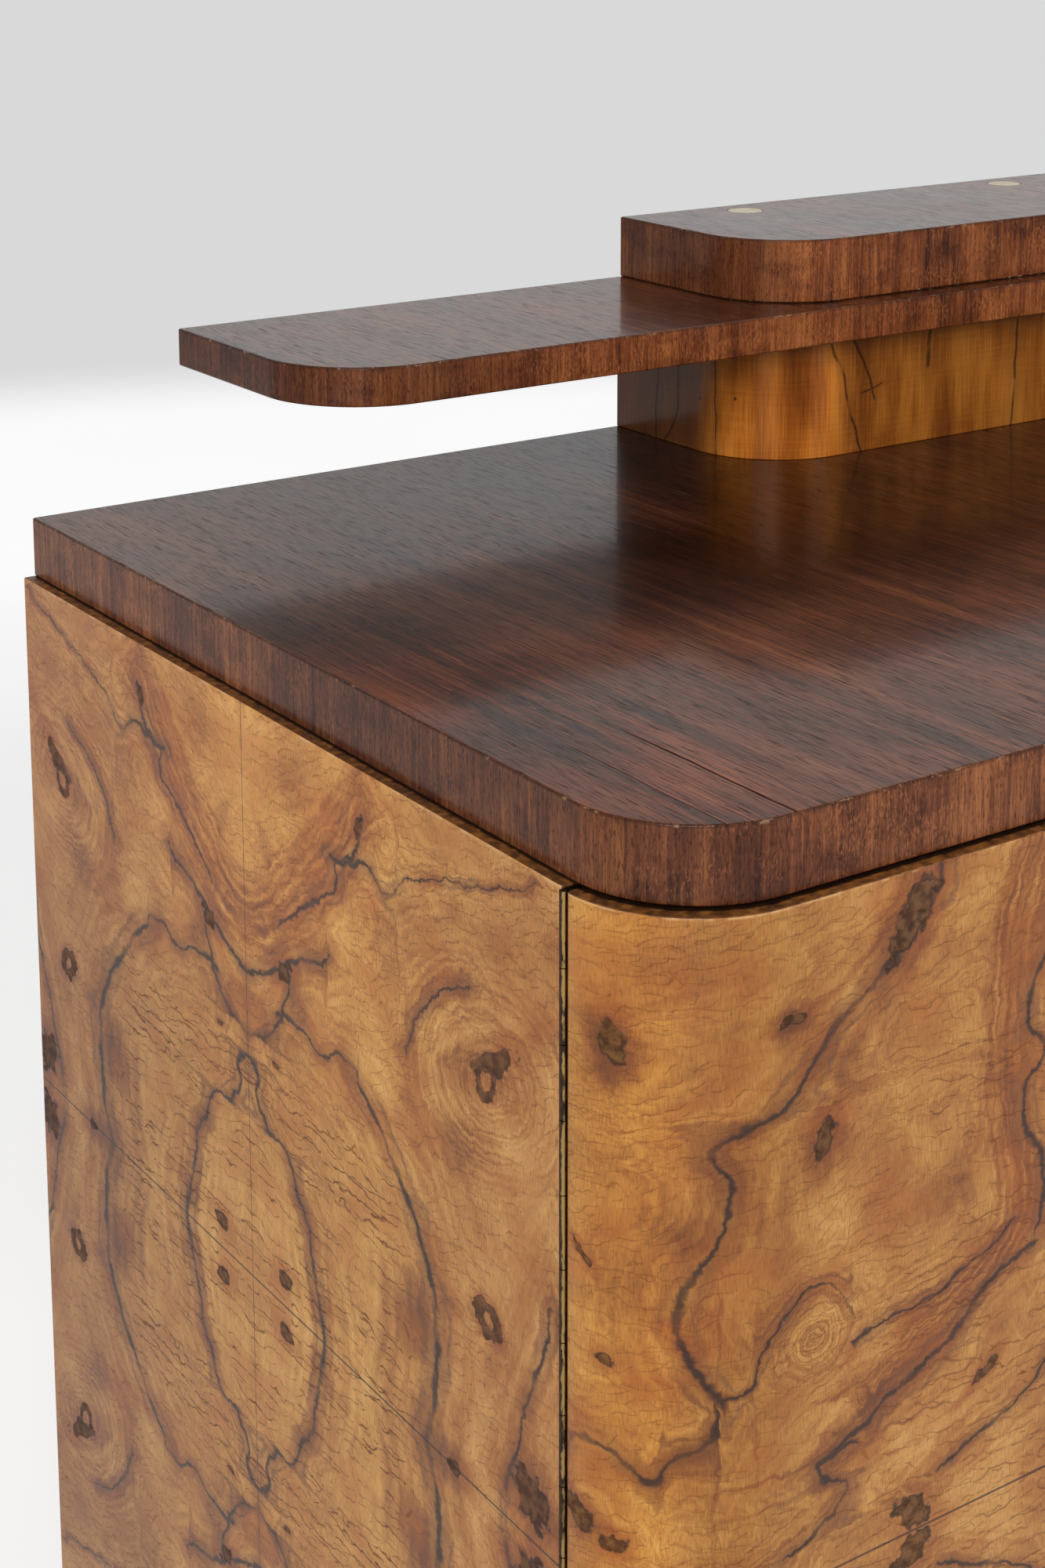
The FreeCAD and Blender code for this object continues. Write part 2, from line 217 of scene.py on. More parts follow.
EDGE_SHADES = ((58, 28, 17), (88, 46, 27), (115, 65, 38), (156, 98, 58))
UPRIGHT_FIBRE = (0.0009, 0.0009, 0.018)
EDGE_POLISH = 0.19


def dark_edging(name, shades=EDGE_SHADES, broad=0.5, tops=(), feet=(), ends=None):
    """Dark veneer with upright grain, chipped at its tops, wax at its feet, darker where ends says."""
    made, place, colour, roughness, relief, polish = straight_veneer(
        name, UPRIGHT_FIBRE, shades, (0.5, 0.6, broad), 0.3, 0.5
    )
    grimy = soft_step(mottle(place, (0.022, 0.022, 0.013), 3.0, 52.0), 0.50, 0.66)
    colour = deepened(grimy, colour, 0.66, 0.62, 0.60)
    thin = soft_step(mottle(place, (0.026, 0.026, 0.016), 2.0, 58.0), 0.46, 0.60)
    fleck = soft_step(mottle(place, (0.0008, 0.0008, 0.0026), 2.0, 63.0), 0.53, 0.63)
    colour = tint(fleck * thin * 0.45, colour, shades[3])
    if ends:
        colour = deepened(ends(place), colour, 0.43, 0.41, 0.45)
    height = place.z
    chipped = soft_step(mottle(place, (0.005, 0.005, 0.002), 3.0, 40.0), 0.60, 0.68)
    for top in tops:
        arris = soft_step(height, top - 0.0018, top - 0.0009)
        arris = arris * soft_fall(height, top, top + 0.0003)
        colour = tint(arris * 0.45, colour, (40, 22, 14))
        colour = tint(arris * chipped * 0.4, colour, (176, 138, 108))
    for foot in feet:
        wax = soft_fall(height, foot + 0.0005, foot + 0.0016)
        wax = wax * soft_step(height, foot - 0.0004, foot)
        colour = tint(wax * 0.8, colour, (34, 22, 16))
        colour = tint(wax * chipped * 0.8, colour, (168, 150, 134))
    return lay_finish(made, colour, roughness, relief, 0.00002, polish * EDGE_POLISH, 0.05)


dark_edge = dark_edging("dark_edge_veneer")


def plain_wood(name, fibre, shades, seed=0.0, sheet=None):
    """Planed, thinly sealed wood of the parts that are seldom seen. A sheet's cut edges are darker."""
    made, place = new_finish(name)
    fine = mottle(place, fibre, 3.0, seed)
    streak = mottle(place, [size * 7 for size in fibre], 3.0, seed + 3)
    cloud = mottle(place, 0.16, 2.0, seed + 8)
    tone = 0.5 + (fine - 0.5) * 0.7 + (streak - 0.5) * 0.9 + (cloud - 0.5) * 0.7
    colour = ramp(tone, (0.25, 0.5, 0.78), shades)
    if sheet:
        x = place.x
        from_edge = lesser(x - sheet[0].x, sheet[1].x - x)
        colour = deepened(soft_fall(from_edge, 0.001, 0.006), colour, 0.3, 0.28, 0.26)
    return lay_finish(made, colour, 0.52 + (cloud - 0.5) * 0.2, fine, 0.00012)


PLAIN_SHADES = ((112, 72, 45), (146, 99, 64), (172, 125, 84))
plain_along = plain_wood("plain_wood_grain_along", (0.09, 0.0016, 0.0016), PLAIN_SHADES)
plain_deep = plain_wood("plain_wood_grain_deep", (0.0016, 0.09, 0.0016), PLAIN_SHADES)
plain_upright = plain_wood("plain_wood_grain_upright", (0.0016, 0.0016, 0.09), PLAIN_SHADES)


def clothe(finish, *names):
    """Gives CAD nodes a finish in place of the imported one."""
    for name in names:
        nodes[name].data.materials.clear()
        nodes[name].data.materials.append(finish)


clothe(plain_along, "plinth_back_rail")
clothe(plain_deep, "plinth_cross_rails")
clothe(plain_upright, "plinth_glue_blocks")


ARC_FINENESS = 70


def rounded_plan(*corners):
    """A closed outline through (x, y, radius) corners, each turned by an arc, anticlockwise."""
    area = sum(a[0] * b[1] - a[1] * b[0] for a, b in zip(corners, corners[1:] + corners[:1]))
    if area < 0:
        corners = corners[::-1]
    outline = []
    for index, (x, y, radius) in enumerate(corners):
        here = Vector((x, y))
        before = (Vector(corners[index - 1][:2]) - here).normalized()
        after = (Vector(corners[(index + 1) % len(corners)][:2]) - here).normalized()
        if radius == 0:
            outline.append(here)
            continue
        half = before.angle(after) / 2
        centre = here + (before + after).normalized() * (radius / math.sin(half))
        start = here + before * (radius / math.tan(half)) - centre
        end = here + after * (radius / math.tan(half)) - centre
        turn = start.angle_signed(end)
        steps = max(3, round(abs(turn) * math.sqrt(radius) * ARC_FINENESS))
        for step in range(steps + 1):
            outline.append(centre + Matrix.Rotation(-turn * step / steps, 2) @ start)
    return outline


def wall_faces(first, rings, count):
    """The faces between rings of points, from that first point on, with so many points to a ring."""
    faces = []
    for start in range(first, first + (rings - 1) * count, count):
        for index in range(count):
            after = (index + 1) % count
            faces.append((start + index, start + after, start + count + after, start + count + index))
    return faces


def eased_board(name, plan, low, high, ease):
    """A board of that plan between two heights, with all its arrises softly rounded."""
    count = len(plan)
    inward = []
    for index, here in enumerate(plan):
        first = (here - plan[index - 1]).normalized()
        second = (plan[(index + 1) % count] - here).normalized()
        normals = [Vector((-edge.y, edge.x)) for edge in (first, second)]
        inward.append((normals[0] + normals[1]) / (1 + normals[0].dot(normals[1])))
    arc = [math.radians(angle) for angle in (0, 30, 60, 90)]
    rings = [(ease * (1 - math.sin(a)), low + ease * (1 - math.cos(a))) for a in arc]
    rings += [(ease * (1 - math.sin(a)), high - ease * (1 - math.cos(a))) for a in reversed(arc)]
    points = [(*(here + m * inset), z) for inset, z in rings for here, m in zip(plan, inward)]
    caps = [tuple(reversed(range(count))), tuple(range(len(points) - count, len(points)))]
    return new_piece(name, points, caps + wall_faces(0, len(rings), count))


def new_piece(name, points, faces):
    """A smooth mesh piece whose broad faces stay flat."""
    mesh = bpy.data.meshes.new(name)
    mesh.from_pydata(points, [], faces)
    mesh.shade_smooth()
    piece = bpy.data.objects.new(name, mesh)
    bpy.context.scene.collection.objects.link(piece)
    piece.modifiers.new("flat faces", "WEIGHTED_NORMAL").keep_sharp = True
    return piece


def set_in_place(piece, body, slot, *stands_for):
    """Says which body carries a piece and which nodes it stands for. The slot it is finished by is not used.
    """
    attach(piece, body)
    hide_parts(*stands_for)


def finish_faces(piece, finishes, choose):
    """Gives each face the finish that choose(centre, normal) names."""
    names = list(finishes)
    for finish in finishes.values():
        piece.data.materials.append(finish)
    for face in piece.data.polygons:
        face.material_index = names.index(choose(face.center, face.normal))


SHARP_ARRIS = 0.0002
SOFT_ARRIS = 0.0008
PLINTH_CORNER = 0.0445


def inner_outer(low, high, side):
    """The x of a box's inner and outer faces, at the left end of the piece (-1) or the right (1)."""
    return (high.x, low.x) if side < 0 else (low.x, high.x)


def dark_board(name, plan, low, high, ease):
    """A fixed board that stands for a node, veneered all over with the dark wood."""
    board = eased_board(name + "_veneered", plan, low.z, high.z, ease)
    board.data.materials.append(dark_edge)
    set_in_place(board, "carcass", "dark_veneer", name)


for name in ("plinth_front_rail", "left_plinth_side_rail", "right_plinth_side_rail"):
    low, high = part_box(name)
    plan = rounded_plan(
        (low.x, low.y, SHARP_ARRIS), (high.x, low.y, SHARP_ARRIS),
        (high.x, high.y, SHARP_ARRIS), (low.x, high.y, SHARP_ARRIS),
    )
    dark_board(name, plan, low, high, SOFT_ARRIS)
for side, name in ((-1, "left_plinth_corner_block"), (1, "right_plinth_corner_block")):
    low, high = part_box(name)
    inner, outer = inner_outer(low, high, side)
    plan = rounded_plan(
        (inner, high.y, SHARP_ARRIS), (outer, high.y, SHARP_ARRIS),
        (outer, low.y, PLINTH_CORNER), (inner, low.y, SHARP_ARRIS),
    )
    dark_board(name, plan, low, high, SOFT_ARRIS)

# Carcass: bottom and top boards, two partitions and three plywood back panels in the side rebates.
# All are planed and sealed inside; the stiles on the partitions' front edges carry dark veneer.
clothe(plain_along, "bottom_board", "top_board", "left_shelf", "middle_shelf", "right_shelf")
clothe(plain_upright, "left_partition", "right_partition")
clothe(plain_deep, "shelf_battens")
PLY_SHADES = ((150, 110, 72), (178, 138, 96), (198, 160, 118))
BACK_PANELS = ("left_back_panel", "middle_back_panel", "right_back_panel")
for index, name in enumerate(BACK_PANELS):
    clothe(plain_wood(name + "_plywood", (0.002, 0.002, 0.12), PLY_SHADES, 7.0 * index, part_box(name)), name)
HINGE_ARRIS = 0.0018
for side, name in ((-1, "left_stile"), (1, "right_stile")):
    low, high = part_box(name)
    hinge_x, free_x = inner_outer(low, high, side)
    plan = rounded_plan(
        (free_x, low.y, SOFT_ARRIS), (hinge_x, low.y, HINGE_ARRIS),
        (hinge_x, high.y, 0), (free_x, high.y, 0),
    )
    dark_board(name, plan, low, high, 0.0004)

# Side panels: a board veneered outside with four leaves of burr, matched about one upright and one
# level joint, so every line of the figure comes four times. The edges are stained dark.
LEVEL_JOINT_Z = 0.397
UPRIGHT_JOINT_Y = 0.048
MATCH_HEIGHT = 277.0


def stroke(along, across, half_width, *points):
    """How many half-widths a place lies from a line through (along, across) points in millimetres."""
    start, end = points[0][0], points[-1][0]
    low = min(place[1] for place in points)
    rise = max(place[1] for place in points) - low
    shape = [((a - start) / (end - start), (b - low) / rise) for a, b in points]

    def line_at(where):
        share = where.node("MapRange", None, {0: where, 1: start, 2: end})
        return share.node("FloatCurve", {"points": shape}, {1: share}) * rise + low

    step = 1.5
    here = line_at(along)
    slope = (line_at(along + step) - here) / step
    beside = abs(across - here) / (slope * slope + 1) ** 0.5
    beyond = greater(greater(start - along, along - end), 0.0)
    return (beside + beyond * 0.6) / half_width


def patch(across, down, centre, radii, tilt=0.0):
    """How many radii a place lies from the middle of an oval patch, in millimetres."""
    turn = math.radians(tilt)
    right = across - centre[0]
    below = down - centre[1]
    first = (right * math.cos(turn) + below * math.sin(turn)) / radii[0]
    second = (below * math.cos(turn) - right * math.sin(turn)) / radii[1]
    return (first * first + second * second) ** 0.5


def nearest(*distances):
    """The least of several distances."""
    least = distances[0]
    for distance in distances[1:]:
        least = lesser(least, distance)
    return least


def pens(across, down):
    """Draws on one leaf: lines that run across it, lines that run down it, and groups of ovals."""

    def level(half_width, *points):
        return stroke(across, down, half_width, *points)

    def upright(half_width, *points):
        return stroke(down, across, half_width, *points)

    def ovals(*shapes):
        return nearest(*[patch(across, down, *shape) for shape in shapes])

    return level, upright, ovals


def side_figure(across, down):
    """Lines, flames, fills, knots, rings and splits of the side panels' leaves, from the joints."""
    level, upright, ovals = pens(across, down)
    lines = nearest(
        level(1.3, (0, 127), (13, 122), (28, 115), (40, 110), (55, 101), (70, 97), (74, 92)),
        upright(1.2, (22, 104), (33, 101), (40, 95), (47, 83), (55, 83), (69, 66), (81, 48), (94, 32)),
        level(1.2, (78, 46), (93, 44), (109, 40), (124, 48), (134, 40)),
        level(0.45, (134, 40), (151, 31), (186, 21), (224, 10), (232, 4)),
        upright(1.6, (168, 0), (173, 9), (185, 9), (194, 15), (198, 24), (200, 36), (215, 43),
                (227, 53), (242, 57), (262, 63), (277, 66)),
        upright(1.1, (109, 40), (115, 40), (127, 36), (142, 28), (152, 17), (156, 1)),
        level(1.0, (28, 137), (43, 134), (62, 139), (70, 141), (82, 135), (97, 135), (101, 142)),
        level(1.8, (100, 142), (113, 150), (124, 161), (136, 173), (148, 188), (158, 205)),
        upright(2.1, (200, 156), (215, 160), (238, 160), (254, 158), (266, 154), (277, 150)),
        upright(1.3, (173, 242), (192, 238), (215, 228), (231, 222), (246, 217), (265, 209)),
        level(0.8, (138, 110), (143, 98), (160, 78), (186, 63)),
    )
    flames = level(19.0, (0, 100), (20, 94), (40, 79), (60, 60), (80, 40), (105, 14))
    fills = ovals(
        ((0, 141), (32, 17)),
        ((142, 230), (15, 30), 8),
        ((168, 275), (27, 11)),
        ((96, 140), (18, 8), 20),
        ((226, 262), (22, 20), 30),
    )
    knots = nearest(
        ovals(
            ((201, 87), (21, 5.0), -33),
            ((30, 264), (7, 4.5), -20),
            ((172, 277), (6, 4)),
            ((228, 258), (13, 11), 30),
            ((101, 25), (2.5, 6), 20),
            ((36, 114), (8, 4), -30),
            ((27, 162), (3, 2)),
        ),
        abs(patch(across, down, (197, 198), (9, 7), 20) - 0.75) * 2.6,
        abs(patch(across, down, (196, 98), (8.5, 6), -60) - 0.8) * 3.4,
    )
    middle = soft_step(down, 140, 185) * soft_fall(across, 115, 160)
    return lines, flames, fills, knots, patch(across, down, (199, 97), (30, 21), -25), middle


def door_figure(across, down):
    """The same for the doors' leaves, by the distance round from the hinge edge."""
    level, upright, ovals = pens(across, down)
    lines = nearest(
        upright(1.6, (0, 169), (12, 167), (25, 154), (33, 146), (42, 135), (54, 115), (67, 104),
                (79, 91), (85, 71), (92, 62), (104, 68), (123, 66), (142, 54), (158, 49), (173, 54),
                (186, 63), (192, 68)),
        level(1.5, (3, 221), (8, 215), (19, 213), (33, 220), (40, 224), (48, 215), (60, 209), (66, 191)),
        level(0.8, (68, 191), (78, 189), (83, 175), (92, 162), (108, 155), (121, 162), (128, 175)),
        level(1.4, (112, 232), (125, 225), (138, 221), (146, 215), (158, 210), (169, 206), (185, 198),
              (194, 190), (200, 184), (212, 179), (228, 173)),
        upright(1.2, (228, 128), (230, 112), (238, 114), (244, 127), (250, 124), (258, 110), (263, 92)),
        upright(1.6, (0, 239), (40, 234), (52, 229), (62, 221), (77, 219), (92, 230), (104, 219),
                (119, 219), (135, 229), (150, 231), (168, 227)),
        level(0.8, (128, 184), (150, 182), (172, 178), (195, 170), (214, 160)),
        level(1.1, (176, 256), (188, 252), (205, 247), (220, 242), (240, 228)),
    )
    flames = upright(13.0, (0, 224), (60, 208), (100, 208), (150, 216), (172, 205), (190, 176),
                     (206, 140))
    fills = ovals(
        ((154, 17), (34, 15), -54),
        ((150, 212), (40, 7), -24),
        ((24, 50), (17, 20)),
        ((14, 246), (20, 12)),
        ((96, 46), (16, 8), -10),
        ((112, 97), (15, 18), 20),
    )
    knots = ovals(
        ((155, 20), (20, 9), -54),
        ((24, 51), (6.5, 9), -20),
        ((112, 96), (5, 10), 25),
        ((94, 45), (7, 2.2), -8),
        ((200, 221), (10, 2.0), -32),
        ((162, 268), (11, 7), 30),
        ((10, 247), (9, 5), 30),
        ((26, 254), (6, 4)),
        ((12, 140), (7, 1.8), 45),
        ((22, 178), (4, 3)),
    )
    middle = soft_step(across, 120, 165) * soft_step(down, 40, 90, 0.0, 0.6)
    return lines, flames, fills, knots, patch(across, down, (108, 176), (12, 10)), middle


def burr_veneer(name, locate, figure, shades, polished):
    """Burr veneer in matched leaves. locate gives a place's millimetres across and down its leaf."""
    made, place = new_finish(name)
    across, down = locate(place)
    leaf = across.node("CombineXYZ", None, {0: across * 0.001, 1: down * 0.001})

    def patches(size, detail, seed):
        return mottle(leaf, size, detail, seed)

    def along(distance, step, seed):
        """Noise drawn out along lines of equal distance, which are this many millimetres apart."""
        spot = leaf.node("CombineXYZ", None, {0: across * 0.001, 1: down * 0.001, 2: distance * 0.001})
        return mottle(spot, (0.05, 0.05, step * 0.001), 3.0, seed)

    def wander(amount, size, seed):
        drift = mottle(leaf, size, 3.0, seed, 1)
        return (drift.x - 0.5) * amount, (drift.y - 0.5) * amount

    wide = wander(5.0, 0.045, 3.0)
    close = wander(7.0, 0.009, 7.0)
    fine = wander(2.4, 0.003, 13.0)
    right = across + wide[0] + close[0] + fine[0]
    below = down + wide[1] + close[1] + fine[1]
    lines, flames, fills, knots, rings, middle = figure(right, below)
    cloud = patches(0.028, 3.0, 17.0)
    broad = patches(0.10, 2.0, 1.0)
    grit = patches(0.0024, 2.0, 71.0) - 0.5

    # The ink lines swell and thin out, and feather into a red-brown stain beside them.
    pressure = patches(0.018, 2.0, 5.0)
    ink = soft_fall((lines + grit * 0.6) * (2.5 - pressure * 2.7), 0.2, 1.6)
    ink = ink * soft_step(patches(0.034, 1.0, 12.0), 0.30, 0.5, 0.5, 1.0)
    feather = soft_fall(lines + grit * 2, 0.0, 7.0) * soft_step(cloud, 0.34, 0.6)
    beside = abs(lines - 4.5 + (patches(0.016, 2.0, 19.0) - 0.5) * 7)
    echo = soft_fall(beside + grit, 0.1, 1.4) * soft_step(patches(0.04, 1.0, 27.0), 0.46, 0.58)
    stain = soft_fall(lines, 0.0, 16.0) * soft_step(patches(0.03, 3.0, 31.0), 0.38, 0.62)
    edge = (patches(0.012, 3.0, 36.0) - 0.5) * 0.8
    filled = soft_fall(fills + edge * 1.6, 0.1, 1.4)
    flamed = soft_fall(flames + edge, 0.5, 1.35)
    rough_knots = knots + (patches(0.007, 4.0, 44.0) - 0.5) * 1.7
    knot = soft_fall(rough_knots, 0.78, 0.94)
    collar = soft_fall(rough_knots, 0.7, 2.8)

    # The wood between them: honey and amber clouds, growth lines along the figure, curly fibre.
    growth = (along(lines, 2.6, 61.0) - 0.5) * soft_step(lines, 0.0, 34.0, 0.95, 0.4)
    flame = (along(flames * 17, 3.0, 9.0) - 0.5) * flamed
    ring = (along(rings * 21, 1.9, 4.0) - 0.5) * soft_fall(rings, 0.9, 3.2)
    fibre = mottle(leaf, (0.0007, 0.0045, 0.001), 2.0, 2.0)
    smoke = soft_step(patches(0.055, 5.0, 83.0), 0.45, 0.72)
    tone = 0.75 + (broad - 0.5) * 0.6 + (cloud - 0.5) * 0.5 + (fibre - 0.5) * 0.42
    tone = tone + growth * 0.85 + flame * 1.5 + ring * 1.1
    tone = tone - smoke * 0.22 - stain * 0.22 - filled * 0.28 - flamed * 0.2 - collar * 0.18
    colour = ramp(tone, (0.10, 0.32, 0.54, 0.74, 0.96), shades)
    red = soft_step(patches(0.04, 3.0, 91.0), 0.45, 0.68) * 0.45
    red = red + stain * 0.25 + collar * 0.25 + flamed * 0.25
    colour = tint(lesser(red, 0.6), colour, shades[5])

    # Fine crazing in the polish, in combed patches that lean either way, and level splits in the middle.
    crazing = middle * 0.0
    combs = (
        (0.34, 5.0, 0.018, 0.48, 51.0, (1.0 - middle) * 0.55),
        (-0.20, 7.0, 0.026, 0.48, 77.0, middle * 0.35 + 0.35),
        (0.05, 9.0, 0.05, 0.7, 23.0, middle * 0.6 + 0.4),
        (-0.04, 7.0, 0.04, 0.8, 35.0, middle),
    )
    for lean, apart, length, width, seed, where in combs:
        jagged = (patches(0.004, 2.0, seed + 2) - 0.5) * 3
        row = (down + across * lean + (patches(0.024, 2.0, seed) - 0.5) * 20 + jagged) / apart
        beside = row.math("PINGPONG", row, 0.5) * apart
        parted = mottle(leaf, (length, 0.0035, 1.0), 2.0, seed + 8)
        region = soft_step(patches(0.05, 3.0, seed + 5), 0.38, 0.52) * where
        fissure = soft_fall(beside, 0.08, width) * soft_step(parted, 0.46, 0.53) * region
        crazing = greater(crazing, fissure)
    colour = tint(crazing * 0.85, colour, (92, 48, 27))
    speck = soft_step(patches(0.0022, 1.0, 61.0), 0.69, 0.76)
    colour = tint(speck * 0.4, colour, (92, 52, 28))
    hairs = soft_step(mottle(leaf, (0.0005, 0.007, 1.0), 1.0, 29.0), 0.32, 0.42, 0.34, 0.0)
    colour = tint(hairs, colour, (104, 60, 30))
    colour = tint(feather * 0.62, colour, (100, 57, 32))
    colour = tint(echo * 0.5, colour, (92, 55, 36))
    colour = tint(ink * 0.94, colour, (46, 27, 20))
    bark = soft_step(patches(0.005, 4.0, 15.0), 0.38, 0.62)
    rim = soft_fall(abs(rough_knots - 0.86), 0.02, 0.2) * soft_step(pressure, 0.36, 0.5)
    colour = tint(knot * 0.85, colour, tint(bark, (56, 36, 25), (102, 73, 49)))
    colour = tint(rim * 0.75, colour, (46, 27, 19))
    roughness = 0.34 + (cloud - 0.5) * 0.16 + knot * 0.2 + crazing * 0.1
    polish = (1.0 - crazing * 0.7 - knot * 0.7) * polished
    return made, place, colour, roughness, fibre * 0.3 - crazing - knot * bark * 0.8, polish


def on_leaf(place, across, loose):
    """Millimetres across and down a matched leaf, whose mirror images differ by a loose drift."""
    down = MATCH_HEIGHT - abs(place.z - LEVEL_JOINT_Z) * 1000
    drift = mottle(place, 0.05, 1.0, 20.0) - 0.5
    return across + drift * loose[0], down + drift * loose[1]


def on_side(place):
    return on_leaf(place, abs(place.y - UPRIGHT_JOINT_Y) * 1000, (7, 5))


def rubbed_and_highlit_arris(colour, place, top):
    """Lightens the rubbed upper arris of a veneered face: wear, and a painted highlight along it."""
    rub = soft_step(mottle(place, 0.012, 3.0, 13.0), 0.44, 0.62)
    near_top = soft_step(place.z, top - 0.0016, top - 0.0006)
    return tint(near_top * rub * 0.6, colour, (214, 168, 114))


def veneer_joint(colour, distance, width):
    """Draws the fine dark line of a joint between two leaves."""
    return tint(soft_step(distance, width * 0.3, width, 0.85, 0.0), colour, (54, 30, 20))


BURR_SHADES = ((76, 40, 17), (121, 71, 31), (162, 106, 48), (190, 135, 66), (212, 162, 90), (164, 91, 33))
SIDE_POLISH = 0.24
side_burr, place, colour, roughness, relief, polish = burr_veneer(
    "side_burr_veneer", on_side, side_figure, BURR_SHADES, SIDE_POLISH
)
# Painted shade darkens the back of each side panel; the wood is also made a little darker towards the front
# edge.
colour = deepened(soft_step(place.y, 0.04, 0.24), colour, 0.74, 0.68, 0.76)
colour = deepened(soft_fall(place.y, -0.16, -0.05), colour, 0.9, 0.86, 0.96)
upper_left = soft_step(place.z, 0.46, 0.62) * soft_step(place.y, -0.14, -0.02)
colour = deepened(upper_left, colour, 1.18, 1.16, 1.18)
colour = veneer_joint(colour, abs(place.y - UPRIGHT_JOINT_Y), 0.0004)
colour = veneer_joint(colour, abs(place.z - LEVEL_JOINT_Z), 0.0008)
colour = rubbed_and_highlit_arris(colour, place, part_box("left_side_panel")[1].z)
lay_finish(side_burr, colour, roughness, relief, 0.00012, polish, 0.06)

# The edges are stained. On the ledge beside the slab black polish has gathered, and painted shade darkens
# that crease as well.
LIPPING_SHADES = ((64, 36, 14), (104, 62, 24), (146, 92, 40))
TOP_CORNER = 0.055
lipping, place = new_finish("stained_edge")
slab_low, slab_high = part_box("slab_top")
past_end = abs(place.x) - (slab_high.x - TOP_CORNER)
past_front = slab_low.y + TOP_CORNER - place.y
past_corner = (greater(past_end, 0.0) ** 2 + greater(past_front, 0.0) ** 2) ** 0.5
from_slab = past_corner + lesser(greater(past_end, past_front), 0.0) - TOP_CORNER
stain = mottle(place, (0.004, 0.004, 0.03), 3.0)
ledge = soft_step(place.z, slab_low.z - 0.003, slab_low.z - 0.0015)
# Black polish and painted shade in the crease beside the slab.
polish_and_painted_shade = soft_fall(from_slab + (stain - 0.5) * 0.002, 0.0004, 0.0020) * ledge
polish_and_painted_shade = polish_and_painted_shade * soft_step(from_slab, -0.005, -0.0025)
colour = ramp(stain, (0.3, 0.5, 0.72), LIPPING_SHADES)
colour = tint(polish_and_painted_shade * 0.92, colour, (20, 13, 9))
lay_finish(lipping, colour, 0.45 - polish_and_painted_shade * 0.12, stain, 0.0001)
BACK_REBATE = (0.010, 0.008)
for side, name in ((-1, "left_side_panel"), (1, "right_side_panel")):
    low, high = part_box(name)
    inner, outer = inner_outer(low, high, side)
    rebate_x = inner + side * BACK_REBATE[0]
    rebate_y = high.y - BACK_REBATE[1]
    plan = rounded_plan(
        (outer, low.y, HINGE_ARRIS), (outer, high.y, SOFT_ARRIS), (rebate_x, high.y, 0),
        (rebate_x, rebate_y, 0), (inner, rebate_y, 0), (inner, low.y, SOFT_ARRIS),
    )
    panel = eased_board(name + "_veneered", plan, low.z, high.z, 0.0005)
    choose = lambda centre, normal, side=side: (
        "veneer" if normal.x * side > 0.5 else "inside" if normal.x * side < -0.5 else "edge"
    )
    finish_faces(panel, {"veneer": side_burr, "inside": plain_upright, "edge": lipping}, choose)
    set_in_place(panel, "carcass", "burr_veneer", name)

# Slab top: a thick board with rounded front corners on the carcass, its top veneer laid with the
# grain from front to back and its edges banded with the same wood upright. French polished.
FACE_SHADES = ((30, 15, 8), (67, 33, 18), (98, 52, 29), (130, 76, 46))
DEPTH_FIBRE = (0.0007, 0.090, 0.02)
SPLITS = ((-0.9238, 0.13, 0.0008), (-0.952, 0.12, 0.0004))
TOP_POLISH = 0.57
TOP_POLISH_ROUGHNESS = 0.11
dark_face, place, colour, roughness, relief, polish = straight_veneer(
    "dark_face_veneer", DEPTH_FIBRE, FACE_SHADES, (0.7, 0.4, 0.55), 0.05, 0.8, 3.0
)

# Light has faded it in streaks towards the front, and the streaks also paint light on the front. Painted
# shade makes it darkest before the riser. It is redder at its ends.
faded = soft_fall(place.y, -0.18, 0.08)
faded = faded * soft_step(mottle(place, (0.02, 0.16, 1.0), 3.0, 8.0), 0.30, 0.68)
colour = deepened(faded, colour, 1.36, 1.36, 1.36)
on_slab = soft_fall(place.z, slab_high.z, slab_high.z + 0.01)
# Painted shade: the slab is darkened before the riser.
painted_shade_before_riser = soft_step(place.y, -0.13, 0.02) * on_slab
painted_shade_before_riser = painted_shade_before_riser * soft_step(abs(place.x), 0.74, 0.92, 1.0, 0.4)
painted_shade_before_riser = painted_shade_before_riser * soft_step(abs(place.x), 0.56, 0.68, 0.7, 1.0)
past_riser = soft_step(abs(place.x), 0.66, 0.72) * soft_step(place.y, 0.05, 0.11)
painted_shade_before_riser = painted_shade_before_riser * (1.0 - past_riser * 0.6)
colour = deepened(painted_shade_before_riser, colour, 0.24, 0.20, 0.15)
rubbed_end = soft_step(abs(place.x), 0.88, 0.95) * soft_fall(place.y, 0.0, 0.06)
rubbed_end = rubbed_end * on_slab
colour = deepened(rubbed_end, colour, 1.2, 1.05, 1.0)

# Two splits run in from the front edge near the left end, and a few fine scratches lie along the grain.
wander = (mottle(place, (0.01, 0.02, 1), 2.0) - 0.5) * 0.002
near_top = soft_step(place.z, slab_high.z - 0.002, slab_high.z - 0.001)
near_top = near_top * soft_fall(place.z, slab_high.z + 0.001, slab_high.z + 0.002)
split = near_top * 0.0
for split_x, length, half_width in SPLITS:
    beside = soft_fall(abs(place.x - split_x + wander), half_width * 0.4, half_width)
    within = soft_fall(place.y, slab_low.y + length * 0.6, slab_low.y + length)
    split = greater(split, beside * within * near_top)
colour = tint(split * 0.9, colour, (18, 11, 9))
scratch = soft_step(mottle(place, (0.0007, 0.03, 0.02), 1.0, 33.0), 0.715, 0.75)
scratch = scratch * soft_step(mottle(place, 0.12, 1.0, 3.0), 0.5, 0.6)
colour = tint(scratch * 0.3, colour, (150, 120, 104))
polish = polish * (TOP_POLISH - on_slab * 0.07 - rubbed_end * 0.10) * (1.0 - split)
roughness = roughness + split * 0.4
